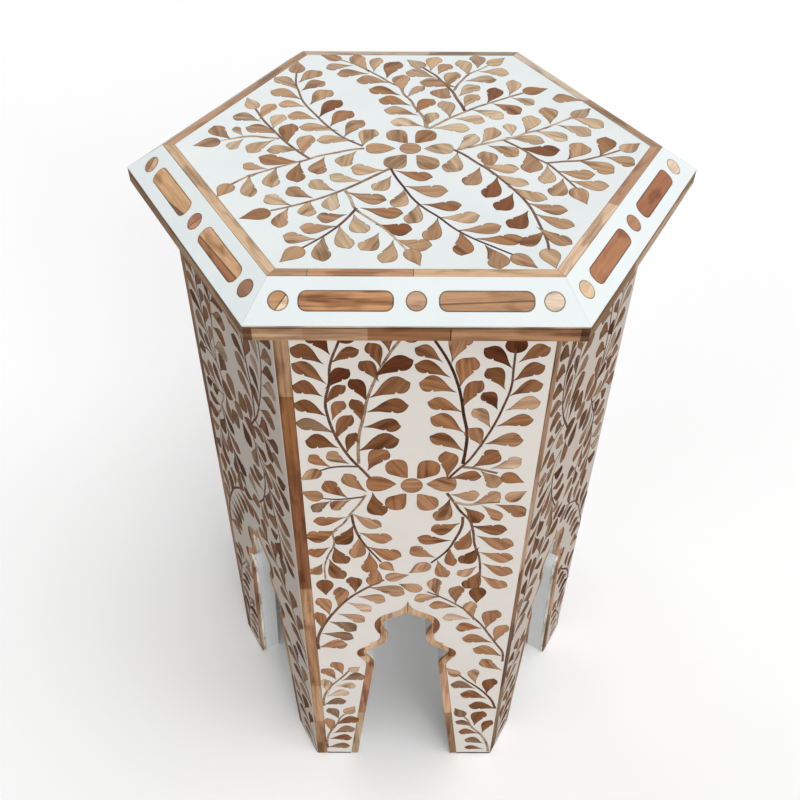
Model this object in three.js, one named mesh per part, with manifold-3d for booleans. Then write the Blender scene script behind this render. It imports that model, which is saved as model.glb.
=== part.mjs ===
// A hexagonal stool of the kind that stands beside a low seat: six boards faced in cast resin with
// wood inlay, each cut away below in a lobed arch, under a flat top with a bevelled rim.
// Millimetres, +Z up. The origin is on the floor under the middle of the stool, and the front
// board faces -Y. The other five sides follow it round, anticlockwise from above.

import * as THREE from 'three';
import { mergeVertices } from 'three/addons/utils/BufferGeometryUtils.js';
import Module from 'manifold-3d';

const wasm = await Module();
wasm.setup();

// Overall sizes
const stoolHeight = 555;
const topAcrossFlats = 322;
const topOverhang = 20.5;

// Top: a core board, its bevel, the wooden band round its edge and the cast face
const bevelRun = 22.5;
const bevelDrop = 16.4;
const edgeBandHeight = 10;
const edgeBandThickness = 5;
const faceThickness = 3;
const frameStripWidth = 6.2;

// Inlays on the bevel of each side: a dot near each mitre, one in the middle, and a bar between
// each two, with the spaces that part them
const rimDotDiameter = 11;
const rimDotFromMitre = 12.5;
const rimBarHeight = 11.3;
const rimBarCornerRadius = 4.5;
const rimInnerSpace = 6.8;
const rimOuterSpace = 5.2;

// Side boards and the wooden strip on the left edge of each
const boardThickness = 18;
const arrisRadius = 2.5;
const cornerStripWidth = 9;
const cornerStripDepth = 4;

// Arch: straight legs up to the springing, then a lobed head that ends in a point
const archFootWidth = 98.6;
const archSpringHeight = 158;
const archHeadWidth = 80;
const archBorderWidth = 6;
const archBorderDepth = 4;
const archBorderFootRelief = 1;

// Batten frame that holds the boards to the underside of the top
const battenWidth = 20;
const battenHeight = 20;

// Fits
const jointGap = 0.3;
const cutOverrun = 5;

// Smoothness of round outlines
const arcStep = THREE.MathUtils.degToRad(15);
const dotSteps = 20;

// The head of the arch is a line wound round five rollers, from the point down to the leg. The
// first, third and fifth lie in the board and the others in the opening. Each row gives a roller's
// centre, out from the middle of the arch and up from the springing, and its radius. A roller in
// the opening keeps at least the smallest lobe share of its radius where a border narrows it.
const rollerShares = [
  { out: 0.2125, up: 1.182, radius: 0.215 },
  { out: 0.100, up: 0.750, radius: 0.2175 },
  { out: 0.3875, up: 0.554, radius: 0.125 },
  { out: 0.394, up: 0.2375, radius: 0.106 },
  { out: 0.5375, up: 0.019, radius: 0.130 },
];
const smallestLobeShare = 0.2;

// The beak: the third roller's arc runs on by a turn, then steps back towards the opening
const beakRoller = 2;
const beakTurn = THREE.MathUtils.degToRad(34);
const beakStepShare = 0.034;

// Six equal sides
const sideNames = ['front', 'front_right', 'back_right', 'back', 'back_left', 'front_left'];
const fullTurn = 2 * Math.PI;
const sector = fullTurn / sideNames.length;
const mitreSlope = Math.tan(sector / 2);
const mitreCosine = Math.cos(sector / 2);

// Places worked out from the sizes
const topFlat = topAcrossFlats / 2;
const fieldFlat = topFlat - bevelRun;
const bodyFlat = topFlat - topOverhang;
const bevelAngle = Math.atan2(bevelDrop, bevelRun);
const bevelWidth = Math.hypot(bevelDrop, bevelRun);
const bevelFoot = stoolHeight - bevelDrop;
const topUnderside = bevelFoot - edgeBandHeight;
const boardHeight = topUnderside - jointGap;
const boardFaceHalf = bodyFlat * mitreSlope;
const rimDotReach = (fieldFlat + bevelRun / 2) * mitreSlope - rimDotFromMitre;
const rimBarLength = rimDotReach - rimDotDiameter - rimInnerSpace - rimOuterSpace;
const rimBarReach = rimDotDiameter / 2 + rimInnerSpace + rimBarLength / 2;

// Finishes
const finish = (color, roughness) => new THREE.MeshStandardMaterial({ color, roughness, metalness: 0 });
const resinTop = finish(0xe6ecee, 0.28);
const resinSide = finish(0xdcd6ce, 0.35);
const boardCore = finish(0xd8d4cc, 0.7);
const woods = [0xc79a6e, 0xb58358, 0xa8744a, 0xd0a97e].map((color) => finish(color, 0.5));
const woodAt = (index) => woods[index % woods.length];

// Helpers for solids
function closed(geometry) {
  const bare = geometry.index ? geometry.toNonIndexed() : geometry;
  bare.deleteAttribute('normal');
  bare.deleteAttribute('uv');
  return mergeVertices(bare);
}

function solidOf(geometry) {
  const merged = closed(geometry);
  return new wasm.Manifold(new wasm.Mesh({
    numProp: 3,
    vertProperties: new Float32Array(merged.attributes.position.array),
    triVerts: new Uint32Array(merged.index.array),
  }));
}

function faceted(geometry) {
  const flat = geometry.index ? geometry.toNonIndexed() : geometry;
  flat.computeVertexNormals();
  return flat;
}

function geometryOf(solid) {
  const mesh = solid.getMesh();
  const geometry = new THREE.BufferGeometry();
  geometry.setAttribute('position', new THREE.BufferAttribute(new Float32Array(mesh.vertProperties), 3));
  geometry.setIndex(new THREE.BufferAttribute(new Uint32Array(mesh.triVerts), 1));
  return faceted(geometry);
}

function cutFrom(geometry, cutters) {
  let solid = solidOf(geometry);
  for (const cutter of cutters) {
    solid = solid.subtract(solidOf(cutter));
  }
  return geometryOf(solid);
}

function extruded(points, depth) {
  return new THREE.ExtrudeGeometry(new THREE.Shape(points), { depth, bevelEnabled: false });
}

// An upright slab: the outline is drawn across and up, and the slab runs in y from near to far
function uprightSlab(points, near, far) {
  return extruded(points, far - near).rotateX(Math.PI / 2).translate(0, far, 0);
}

// A six-sided solid: the section is drawn as half the width across flats, and height
function hexagonal(section) {
  const profile = section.map(([flat, height]) => new THREE.Vector2(flat / mitreCosine, height));
  const turned = new THREE.LatheGeometry(profile, sideNames.length, sector / 2);
  return faceted(turned.rotateX(Math.PI / 2));
}

const closedSection = (section) => [...section, section[0]];

function onArc(centre, radius, from, to) {
  const count = Math.max(1, Math.ceil(Math.abs(to - from) / arcStep));
  const points = [];
  for (let i = 0; i <= count; i += 1) {
    const angle = from + (to - from) * i / count;
    points.push(new THREE.Vector2(
      centre.x + radius * Math.cos(angle),
      centre.y + radius * Math.sin(angle),
    ));
  }
  return points;
}

// An open outline moved sideways, to the left of its own direction, with pointed corners
function movedLeft(points, distance) {
  return points.map((point, i) => {
    const before = points[Math.max(i - 1, 0)];
    const after = points[Math.min(i + 1, points.length - 1)];
    const into = (i > 0 ? point.clone().sub(before) : after.clone().sub(point)).normalize();
    const out = (i < points.length - 1 ? after.clone().sub(point) : point.clone().sub(before)).normalize();
    const normal = new THREE.Vector2(-into.y - out.y, into.x + out.x).normalize();
    const stretch = normal.x * -into.y + normal.y * into.x;
    return point.clone().addScaledVector(normal, distance / stretch);
  });
}

// Arch outline

// Where a line that crosses between two rollers leaves the first and meets the second. The first
// is passed anticlockwise when turnsLeft is 1 and clockwise when it is -1.
function crossing(first, second, turnsLeft) {
  const between = second.centre.clone().sub(first.centre);
  const reach = first.radius + second.radius;
  const run = Math.sqrt(Math.max(between.lengthSq() - reach * reach, 0));
  const heading = between.angle() + turnsLeft * Math.atan2(reach, run);
  const side = heading - turnsLeft * Math.PI / 2;
  return { heading, leaves: side, meets: side + Math.PI };
}

// One half of the arch, from the point in its middle down to the foot. The inset moves the line
// towards the opening, so rollers in the board grow by it and rollers in the opening shrink.
function halfArch(inset, hasBeak, foot) {
  const rollers = rollerShares.map((share, i) => {
    const inBoard = i % 2 === 0;
    const radius = share.radius * archHeadWidth;
    return {
      centre: new THREE.Vector2(share.out * archHeadWidth, archSpringHeight + share.up * archHeadWidth),
      plainRadius: radius,
      radius: inBoard ? radius + inset : Math.max(radius - inset, radius * smallestLobeShare),
      turnsLeft: inBoard ? 1 : -1,
    };
  });
  const last = rollers[rollers.length - 1];
  const toFoot = new THREE.Vector2(archFootWidth / 2, 0).sub(last.centre);
  const legRun = Math.sqrt(toFoot.lengthSq() - last.plainRadius * last.plainRadius);
  const legHeading = toFoot.angle() + Math.atan2(last.plainRadius, legRun);

  const top = rollers[0];
  let meets = Math.PI + Math.acos(Math.min(top.centre.x / top.radius, 1));
  const points = [];
  rollers.forEach((roller, i) => {
    const isLast = i === rollers.length - 1;
    const next = isLast
      ? { heading: legHeading, leaves: legHeading - Math.PI / 2 }
      : crossing(roller, rollers[i + 1], roller.turnsLeft);
    const turn = THREE.MathUtils.euclideanModulo((next.leaves - meets) * roller.turnsLeft, fullTurn);
    const sweep = roller.turnsLeft * turn;
    const beak = hasBeak && i === beakRoller ? beakTurn : 0;
    points.push(...onArc(roller.centre, roller.radius, meets, meets + sweep + beak));
    if (beak) {
      const tip = points[points.length - 1];
      const step = beakStepShare * archHeadWidth;
      points.push(new THREE.Vector2(
        tip.x + step * Math.cos(next.leaves),
        tip.y + step * Math.sin(next.leaves),
      ));
    }
    meets = next.meets;
  });
  const knee = points[points.length - 1];
  const drop = (foot - knee.y) / Math.sin(legHeading);
  points.push(new THREE.Vector2(knee.x + drop * Math.cos(legHeading), foot));
  return points;
}

// The whole arch, from the left foot over the point to the right foot
function wholeArch(inset, hasBeak, foot) {
  const right = halfArch(inset, hasBeak, foot);
  const left = right.map((point) => new THREE.Vector2(-point.x, point.y)).reverse();
  const meetsInMiddle = Math.abs(right[0].x) < jointGap / 2;
  return [...left, ...(meetsInMiddle ? right.slice(1) : right)];
}

// Side boards

// Half the width of a board at a depth behind its face, up to the mitre with the next board
function mitreHalf(depth, clearance) {
  return (bodyFlat - depth) * mitreSlope - clearance / mitreCosine;
}

const arrisClear = Math.asin(Math.min(jointGap / 2 / arrisRadius, 1));
const arrisAcross = mitreHalf(arrisRadius, 0);
const outward = -Math.PI / 2;

function leftArris() {
  const centre = new THREE.Vector2(-arrisAcross, -bodyFlat + arrisRadius);
  return onArc(centre, arrisRadius, outward - sector / 2 + arrisClear, outward);
}

function rightArris() {
  const centre = new THREE.Vector2(arrisAcross, -bodyFlat + arrisRadius);
  return onArc(centre, arrisRadius, outward, outward + sector / 2 - arrisClear);
}

function boardPlan() {
  const notchSide = -boardFaceHalf + cornerStripWidth + jointGap;
  const notchDepth = cornerStripDepth + jointGap;
  return [
    new THREE.Vector2(notchSide, -bodyFlat),
    ...rightArris(),
    new THREE.Vector2(mitreHalf(boardThickness, jointGap / 2), -bodyFlat + boardThickness),
    new THREE.Vector2(-mitreHalf(boardThickness, jointGap / 2), -bodyFlat + boardThickness),
    new THREE.Vector2(-mitreHalf(notchDepth, jointGap / 2), -bodyFlat + notchDepth),
    new THREE.Vector2(notchSide, -bodyFlat + notchDepth),
  ];
}

function boardGeometry() {
  const belowFloor = -cutOverrun;
  const opening = wholeArch(archBorderWidth, false, belowFloor);
  const rebate = movedLeft(wholeArch(0, true, belowFloor), jointGap);
  const front = -bodyFlat - cutOverrun;
  return cutFrom(extruded(boardPlan(), boardHeight), [
    uprightSlab(opening, front, -bodyFlat + boardThickness + cutOverrun),
    uprightSlab(rebate, front, -bodyFlat + archBorderDepth + jointGap),
  ]);
}

function cornerStripGeometry() {
  const innerSide = -boardFaceHalf + cornerStripWidth;
  const plan = [
    ...leftArris(),
    new THREE.Vector2(innerSide, -bodyFlat),
    new THREE.Vector2(innerSide, -bodyFlat + cornerStripDepth),
    new THREE.Vector2(-mitreHalf(cornerStripDepth, jointGap / 2), -bodyFlat + cornerStripDepth),
  ];
  return faceted(extruded(plan, boardHeight));
}

// The border follows the arch from foot to foot and stops just clear of the floor
function archBorderGeometry() {
  const outer = wholeArch(0, true, archBorderFootRelief);
  const inner = wholeArch(archBorderWidth, false, archBorderFootRelief);
  const ring = [...outer, ...inner.reverse()];
  return faceted(uprightSlab(ring, -bodyFlat, -bodyFlat + archBorderDepth));
}

// Top

// The bevel seen in section: height of a line parallel to it, at a depth under it
function underBevel(flat, depth) {
  return stoolHeight - (flat - fieldFlat) * Math.tan(bevelAngle) - depth / Math.cos(bevelAngle);
}

function topBoardGeometry() {
  const seat = stoolHeight - faceThickness - jointGap;
  const side = topFlat - edgeBandThickness - jointGap;
  const depth = faceThickness + jointGap;
  const shoulder = fieldFlat - depth * Math.tan(bevelAngle / 2);
  return hexagonal([
    [0, topUnderside],
    [side, topUnderside],
    [side, underBevel(side, depth)],
    [shoulder, seat],
    [0, seat],
  ]);
}

function edgeBandGeometry() {
  const inner = topFlat - edgeBandThickness;
  return hexagonal(closedSection([
    [inner, topUnderside],
    [topFlat, topUnderside],
    [topFlat, bevelFoot - jointGap],
    [inner, bevelFoot - jointGap],
  ]));
}

function fieldGeometry() {
  const flat = fieldFlat - frameStripWidth - jointGap;
  return hexagonal([
    [0, stoolHeight - faceThickness],
    [flat, stoolHeight - faceThickness],
    [flat, stoolHeight],
    [0, stoolHeight],
  ]);
}

function frameStripGeometry() {
  const outerHalf = fieldFlat * mitreSlope - jointGap / 2 / mitreCosine;
  const innerHalf = outerHalf - frameStripWidth * mitreSlope;
  const plan = [
    new THREE.Vector2(-outerHalf, -fieldFlat),
    new THREE.Vector2(outerHalf, -fieldFlat),
    new THREE.Vector2(innerHalf, -fieldFlat + frameStripWidth),
    new THREE.Vector2(-innerHalf, -fieldFlat + frameStripWidth),
  ];
  return faceted(extruded(plan, faceThickness).translate(0, 0, stoolHeight - faceThickness));
}

// The inlays of one side of the bevel, placed across it and along its middle
const rimInlays = [
  { name: 'rim_dot_left', across: -rimDotReach, outline: rimDotOutline },
  { name: 'rim_bar_left', across: -rimBarReach, outline: rimBarOutline },
  { name: 'rim_dot_middle', across: 0, outline: rimDotOutline },
  { name: 'rim_bar_right', across: rimBarReach, outline: rimBarOutline },
  { name: 'rim_dot_right', across: rimDotReach, outline: rimDotOutline },
];

function rimDotOutline(clearance) {
  const radius = rimDotDiameter / 2 + clearance;
  const points = [];
  for (let i = 0; i < dotSteps; i += 1) {
    const angle = fullTurn * i / dotSteps;
    points.push(new THREE.Vector2(radius * Math.cos(angle), radius * Math.sin(angle)));
  }
  return points;
}

function rimBarOutline(clearance) {
  const halfLength = rimBarLength / 2 + clearance;
  const halfHeight = rimBarHeight / 2 + clearance;
  const radius = Math.min(rimBarCornerRadius + clearance, halfHeight);
  const points = [];
  for (let quarter = 0; quarter < 4; quarter += 1) {
    const from = quarter * Math.PI / 2;
    const centre = new THREE.Vector2(
      (quarter === 0 || quarter === 3 ? 1 : -1) * (halfLength - radius),
      (quarter < 2 ? 1 : -1) * (halfHeight - radius),
    );
    points.push(...onArc(centre, radius, from, from + Math.PI / 2));
  }
  return points;
}

function rimFaceGeometry() {
  const inner = fieldFlat + jointGap;
  const lowInner = fieldFlat + (bevelDrop - faceThickness / Math.cos(bevelAngle)) / Math.tan(bevelAngle);
  const ring = hexagonal(closedSection([
    [inner, underBevel(inner, faceThickness)],
    [lowInner, bevelFoot],
    [topFlat, bevelFoot],
    [inner, underBevel(inner, 0)],
  ]));
  const cutters = [];
  for (let side = 0; side < sideNames.length; side += 1) {
    for (const inlay of rimInlays) {
      const cutter = extruded(inlay.outline(jointGap), faceThickness + 2 * cutOverrun);
      cutter.translate(inlay.across, -bevelWidth / 2, -faceThickness - cutOverrun);
      cutter.rotateX(bevelAngle).translate(0, -fieldFlat, stoolHeight).rotateZ(side * sector);
      cutters.push(cutter);
    }
  }
  return cutFrom(ring, cutters);
}

function battenGeometry() {
  const outer = bodyFlat - boardThickness - jointGap;
  return hexagonal(closedSection([
    [outer - battenWidth, boardHeight - battenHeight],
    [outer, boardHeight - battenHeight],
    [outer, boardHeight],
    [outer - battenWidth, boardHeight],
  ]));
}

// Assembly

function piece(name, geometry, material) {
  const mesh = new THREE.Mesh(geometry, material);
  mesh.name = name;
  return mesh;
}

const stool = new THREE.Group();
stool.add(piece('top_board', topBoardGeometry(), boardCore));
stool.add(piece('top_edge_band', edgeBandGeometry(), woodAt(0)));
stool.add(piece('top_field_face', fieldGeometry(), resinTop));
stool.add(piece('top_rim_face', rimFaceGeometry(), resinTop));
stool.add(piece('top_batten_frame', battenGeometry(), boardCore));

const board = boardGeometry();
const cornerStrip = cornerStripGeometry();
const archBorder = archBorderGeometry();
const frameStrip = frameStripGeometry();

sideNames.forEach((sideName, side) => {
  const sideGroup = new THREE.Group();
  sideGroup.rotation.z = side * sector;
  sideGroup.add(piece(`side_board_${sideName}`, board, resinSide));
  sideGroup.add(piece(`corner_strip_${sideName}`, cornerStrip, woodAt(side)));
  sideGroup.add(piece(`arch_border_${sideName}`, archBorder, woodAt(side + 1)));
  sideGroup.add(piece(`frame_strip_${sideName}`, frameStrip, woodAt(side + 2)));

  const bevelGroup = new THREE.Group();
  bevelGroup.position.set(0, -fieldFlat, stoolHeight);
  bevelGroup.rotation.x = bevelAngle;
  rimInlays.forEach((inlay, i) => {
    const geometry = faceted(extruded(inlay.outline(0), faceThickness));
    const mesh = piece(`${inlay.name}_${sideName}`, geometry, woodAt(side + i));
    mesh.position.set(inlay.across, -bevelWidth / 2, -faceThickness);
    bevelGroup.add(mesh);
  });
  sideGroup.add(bevelGroup);
  stool.add(sideGroup);
});

export default stool;
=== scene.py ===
# %% [markdown]
# # A six-sided stool with leaf inlay
# The real stool is a board box on six pointed feet, with a wide bevelled top.
# Every outside face is cast in pale resin around thin wooden leaves, and then sanded flush.
# The fixed model already has the boards, trims and rim inlays at their true size.
# This lesson lays the leaf pattern on it, gives every surface its finish, and lights the scene.

# %% Load the fixed model
import math
import random

import bpy
from mathutils import Matrix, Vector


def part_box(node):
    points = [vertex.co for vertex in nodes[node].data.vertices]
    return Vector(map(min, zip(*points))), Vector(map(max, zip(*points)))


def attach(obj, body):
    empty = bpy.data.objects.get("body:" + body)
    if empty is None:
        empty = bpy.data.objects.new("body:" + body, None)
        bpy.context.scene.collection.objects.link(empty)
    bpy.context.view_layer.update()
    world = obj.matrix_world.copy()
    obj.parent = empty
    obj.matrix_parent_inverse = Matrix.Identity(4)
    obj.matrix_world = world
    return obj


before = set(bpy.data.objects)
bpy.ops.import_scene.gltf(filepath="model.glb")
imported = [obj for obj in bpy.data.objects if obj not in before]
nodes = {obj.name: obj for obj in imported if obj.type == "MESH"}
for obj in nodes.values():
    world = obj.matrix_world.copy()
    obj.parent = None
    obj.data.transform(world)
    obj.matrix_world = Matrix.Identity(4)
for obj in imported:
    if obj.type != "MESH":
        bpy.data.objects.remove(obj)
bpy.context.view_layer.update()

# %% [markdown]
# Lengths on the stool are given in millimetres, and Blender counts in metres, so one factor
# turns the first into the second. The six sides are the same panel, turned by steps of 60
# degrees, so a side is named once, with its turn. All chance comes from one seeded source,
# which makes the stool come out the same each time.

# %% Sizes and sides
MM = 0.001
SIDES = {
    "front": 0, "front_right": 60, "back_right": 120,
    "back": 180, "back_left": 240, "front_left": 300,
}
table_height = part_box("top_field_face")[1].z
face_distance = -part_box("side_board_front")[0].y
chance = random.Random(12)
print("tabletop at", round(table_height, 4), "and panel faces at", round(face_distance, 4))

# %% [markdown]
# The photograph looks down on the stool at 44 degrees, from 0.86 m above the floor. The
# camera is built from three turns: down by the pitch, a hair to the side, and a slight roll.
# Turns are multiplied as matrices because their order is then plain to read. The small
# shift puts the optical centre where the cropped photograph has it.

# %% Camera
PHOTO_WIDTH = 800
PHOTO_CENTRE = (393, 399)
FOCAL_PIXELS = 949
SENSOR = 36
CAMERA_PLACE = (-0.0136, -0.5493, 0.8622)
CAMERA_YAW, CAMERA_PITCH, CAMERA_ROLL = 0.20, 44.18, 0.34

lens = bpy.data.cameras.new("camera")
lens.sensor_width = SENSOR
lens.lens = SENSOR * FOCAL_PIXELS / PHOTO_WIDTH
lens.shift_x = 0.5 - PHOTO_CENTRE[0] / PHOTO_WIDTH
lens.shift_y = PHOTO_CENTRE[1] / PHOTO_WIDTH - 0.5
camera = bpy.data.objects.new("camera", lens)
bpy.context.collection.objects.link(camera)
camera.matrix_world = (
    Matrix.Translation(CAMERA_PLACE)
    @ Matrix.Rotation(-math.radians(CAMERA_YAW), 4, "Z")
    @ Matrix.Rotation(math.radians(90 - CAMERA_PITCH), 4, "X")
    @ Matrix.Rotation(math.radians(CAMERA_ROLL), 4, "Z")
)
bpy.context.scene.camera = camera
bpy.context.scene.view_settings.view_transform = "Standard"
print("lens of", round(lens.lens, 2), "mm")

# %% [markdown]
# A material is a sum over the surface: noise times a factor, plus a tone, and so on. Joining
# that up from loose nodes hides the sum, so a small class stands for one output of a node
# and lets it be written in Python. Plus, minus and times add the nodes themselves, and one
# method makes any other node. A Mix node has more sockets than it shows, so those for colours
# are named by their numbers.

# %% Signals
MIX_OFF, MIX_ON, MIX_COLOUR = 6, 7, 2


def sign(operation, reflected=False):
    """A method for one sign, with its signal on the left, or on the right if reflected."""
    def method(self, other):
        return self.math(operation, *((other, self) if reflected else (self, other)))

    return method


class Signal:
    """One output in a node tree, on which sums can be written."""

    def __init__(self, tree, socket=None):
        self.tree = tree
        self.socket = socket

    def node(self, kind, settings=(), inputs=(), output=0):
        """Any node: its settings are set first, and then the values or links of its sockets."""
        made = self.tree.nodes.new(kind)
        for name, value in dict(settings).items():
            if name == "stops":
                self.set_stops(made.color_ramp, value)
            else:
                setattr(made, name, value)
        for name, value in dict(inputs).items():
            if isinstance(value, Signal):
                self.tree.links.new(value.socket, made.inputs[name])
            else:
                made.inputs[name].default_value = value
        return Signal(self.tree, made.outputs[output])

    @staticmethod
    def set_stops(ramp, stops):
        """Gives a colour ramp its (place, colour) stops, with a hard step at each."""
        ramp.interpolation = "CONSTANT"
        ramp.elements.remove(ramp.elements[1])
        ramp.elements[0].position, ramp.elements[0].color = stops[0]
        for place, colour in stops[1:]:
            ramp.elements.new(place).color = colour

    def math(self, operation, *values):
        return self.node("ShaderNodeMath", {"operation": operation}, dict(enumerate(values)))

    def __abs__(self):
        return self.math("ABSOLUTE", self)

    __add__, __radd__ = sign("ADD"), sign("ADD", True)
    __sub__, __rsub__ = sign("SUBTRACT"), sign("SUBTRACT", True)
    __mul__, __rmul__ = sign("MULTIPLY"), sign("MULTIPLY", True)
    __gt__, __lt__ = sign("GREATER_THAN"), sign("LESS_THAN")
    least, most = sign("MINIMUM"), sign("MAXIMUM")

    def vector(self, operation, other, slot=1):
        inputs = {0: self, slot: other}
        return self.node("ShaderNodeVectorMath", {"operation": operation}, inputs)

    def times(self, *factors):
        """A place or a colour, each of its three parts times a factor of its own."""
        return self.vector("MULTIPLY", factors)

    def moved(self, *steps):
        return self.vector("ADD", steps)

    def dimmed(self, factor):
        """A colour made darker or lighter by a factor that may vary."""
        return self.vector("SCALE", factor, "Scale")

    def between(self, off, on):
        """The colour off where this signal is 0, the colour on where it is 1."""
        inputs = {0: self, MIX_OFF: off, MIX_ON: on}
        return self.node("ShaderNodeMix", {"data_type": "RGBA"}, inputs, MIX_COLOUR)

    def noise(self, size, detail=2.0):
        """Soft spots about as wide as size, in metres, from 0 to 1."""
        inputs = {"Vector": self, "Scale": 1 / size, "Detail": detail}
        return self.node("ShaderNodeTexNoise", {}, inputs)

    def spread(self, low, high):
        """This signal drawn out so that low becomes 0 and high becomes 1."""
        inputs = {"Value": self, "From Min": low, "From Max": high}
        return self.node("ShaderNodeMapRange", {}, inputs)

    def stepped(self, stops):
        """The colour of the last (place, colour) stop that this signal has reached."""
        return self.node("ShaderNodeValToRGB", {"stops": stops}, {"Fac": self})


print("signals can", ", ".join(name for name in vars(Signal) if not name.startswith("_")))

# %% [markdown]
# Colours are written as they look on a screen, from 0 to 255, and turned into the linear
# values that a shader adds up. A new material starts with its main shader, and its varying
# colour, roughness and relief are linked to it in one place. Roughness and colour do most of
# the work on a sanded, waxed surface, and the relief only breaks up its shine.

# %% Colours and finishes
FULL_TONE, SCREEN_OFFSET, SCREEN_POWER = 255, 0.055, 2.4
PLAIN_GLOSS = 0.5


def tone(red, green, blue):
    """A screen colour in linear light, by the curve that screens use."""
    parts = [part / FULL_TONE + SCREEN_OFFSET for part in (red, green, blue)]
    return tuple((part / (1 + SCREEN_OFFSET)) ** SCREEN_POWER for part in parts) + (1.0,)


def new_finish(name):
    material = bpy.data.materials.new(name)
    material.use_nodes = True
    return material, Signal(material.node_tree)


def lay_finish(material, colour, roughness, relief, depth, gloss=PLAIN_GLOSS):
    tree = material.node_tree
    shader = tree.nodes["Principled BSDF"]
    shader.inputs["Specular IOR Level"].default_value = gloss
    tree.links.new(colour.socket, shader.inputs["Base Color"])
    tree.links.new(roughness.socket, shader.inputs["Roughness"])
    bump = roughness.node("ShaderNodeBump", {}, {"Height": relief, "Distance": depth})
    tree.links.new(bump.socket, shader.inputs["Normal"])
    return material


def give(material, *names):
    for name in names:
        nodes[name].material_slots[0].material = material


print("mid brown in linear light:", [round(part, 3) for part in tone(150, 110, 80)])

# %% [markdown]
# Many finishes repeat on the six sides, so each is worked out as if its side were the front.
# A Mapping node turns the stool's own coordinates back by the side's turn. Then x runs along
# the side, -y points out of it and z goes up, and the finish follows the side round.

# %% Places on a side
def place_on(sheet, side):
    """The surface point as if the side were the front, and its three parts."""
    coordinates = sheet.node("ShaderNodeTexCoord", output="Object")
    back = (0, 0, -math.radians(SIDES[side]))
    place = sheet.node("ShaderNodeMapping", {}, {"Vector": coordinates, "Rotation": back})
    split = place.node("ShaderNodeSeparateXYZ", {}, {"Vector": place})
    outputs = split.socket.node.outputs
    return place, *(Signal(sheet.tree, outputs[name]) for name in "XYZ")


def joined(x, y, z):
    """One place made of three signals."""
    return x.node("ShaderNodeCombineXYZ", {}, {"X": x, "Y": y, "Z": z})


print("turns of the sides, in degrees:", *SIDES.values())

# %% [markdown]
# Wood is drawn from noises that are pulled out along the grain. Broad bands and narrower
# streaks make the growth rings of a sawn face, and fine fibres make its pores. Here and there
# lies a soft patch of dark heartwood. Together they say how light the wood is at a point, and
# that mixes two versions of the base tone: a deeper, redder one and a paler one. One number,
# the figure, makes the rings bolder, and takes away pores and even light to keep the tone. In
# a strip glued up from lengths, each length ends in a thin dark joint.

# %% Wood
GRAIN = {
    "bands": (60 * MM, 3.6 * MM),
    "streaks": (26 * MM, 1.3 * MM),
    "fibres": (9 * MM, 0.35 * MM),
}
BAND_RANGE, BAND_SHARE = (0.4, 0.6), 0.55
STREAK_RANGE, STREAK_SHARE = (0.36, 0.64), 0.3
HEART_RANGE, HEART_SIZE, HEART_STRETCH, HEART_SHADE = (0.54, 0.64), 11 * MM, 0.35, 0.42
PORE_RANGE, PORE_SHARE, PORES_LOST = (0.3, 0.7), 0.4, 0.2
EVEN_LIGHT, LIGHT_LOST = 0.465, 0.325
DEEP_TINT, PALE_TINT = (0.42, 0.32, 0.24), (1.3, 1.27, 1.22)
WAXED_GLOSS, WAXED_ROUGHNESS, FIBRE_ROUGHNESS, FIBRE_RELIEF = 0.2, 0.4, 0.2, 0.04 * MM
GLUE_JOINT, JOINT_TONE, SEAM_TONE = 0.3 * MM, (136, 104, 80), (110, 82, 60)


def wood_noise(place, name):
    """A noise pulled out along x to the length and width of one kind of figure."""
    length, width = GRAIN[name]
    return place.times(width / length, 1, 1).noise(width)


def lay_wood(material, base, place, figure=1.0, depth=FIBRE_RELIEF):
    """Gives a material the wood recipe on a base colour; x of place is along the grain.

    A low figure gives plain, fine-pored wood, and a high one gives bold rings.
    """
    fibres = wood_noise(place, "fibres")
    rings = wood_noise(place, "bands").spread(*BAND_RANGE) * (BAND_SHARE * figure)
    streaks = wood_noise(place, "streaks").spread(*STREAK_RANGE)
    rings = rings + streaks * (STREAK_SHARE * figure)
    heart = place.times(HEART_STRETCH, 1, 1).noise(HEART_SIZE).spread(*HEART_RANGE)
    pores = fibres.spread(*PORE_RANGE) * (PORE_SHARE - PORES_LOST * figure)
    light = rings + pores + (EVEN_LIGHT - LIGHT_LOST * figure) - heart * HEART_SHADE
    colour = light.between(base.times(*DEEP_TINT), base.times(*PALE_TINT))
    roughness = WAXED_ROUGHNESS + fibres * FIBRE_ROUGHNESS
    return lay_finish(material, colour, roughness, fibres, depth, WAXED_GLOSS)


def glued_lengths(place, start, end, pieces):
    """The tone at a place on a strip glued up from (share, tone) pieces end to end."""
    stops, reached = [], 0.0
    joint = GLUE_JOINT / (end - start)
    for share, colour in pieces:
        stops.append((reached, tone(*colour)))
        reached += share
        stops.append((reached - joint, tone(*JOINT_TONE)))
    return place.spread(start, end).stepped(stops)


print("grain figures, width in mm:", {name: round(size[1] / MM, 2) for name, size in GRAIN.items()})
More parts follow.
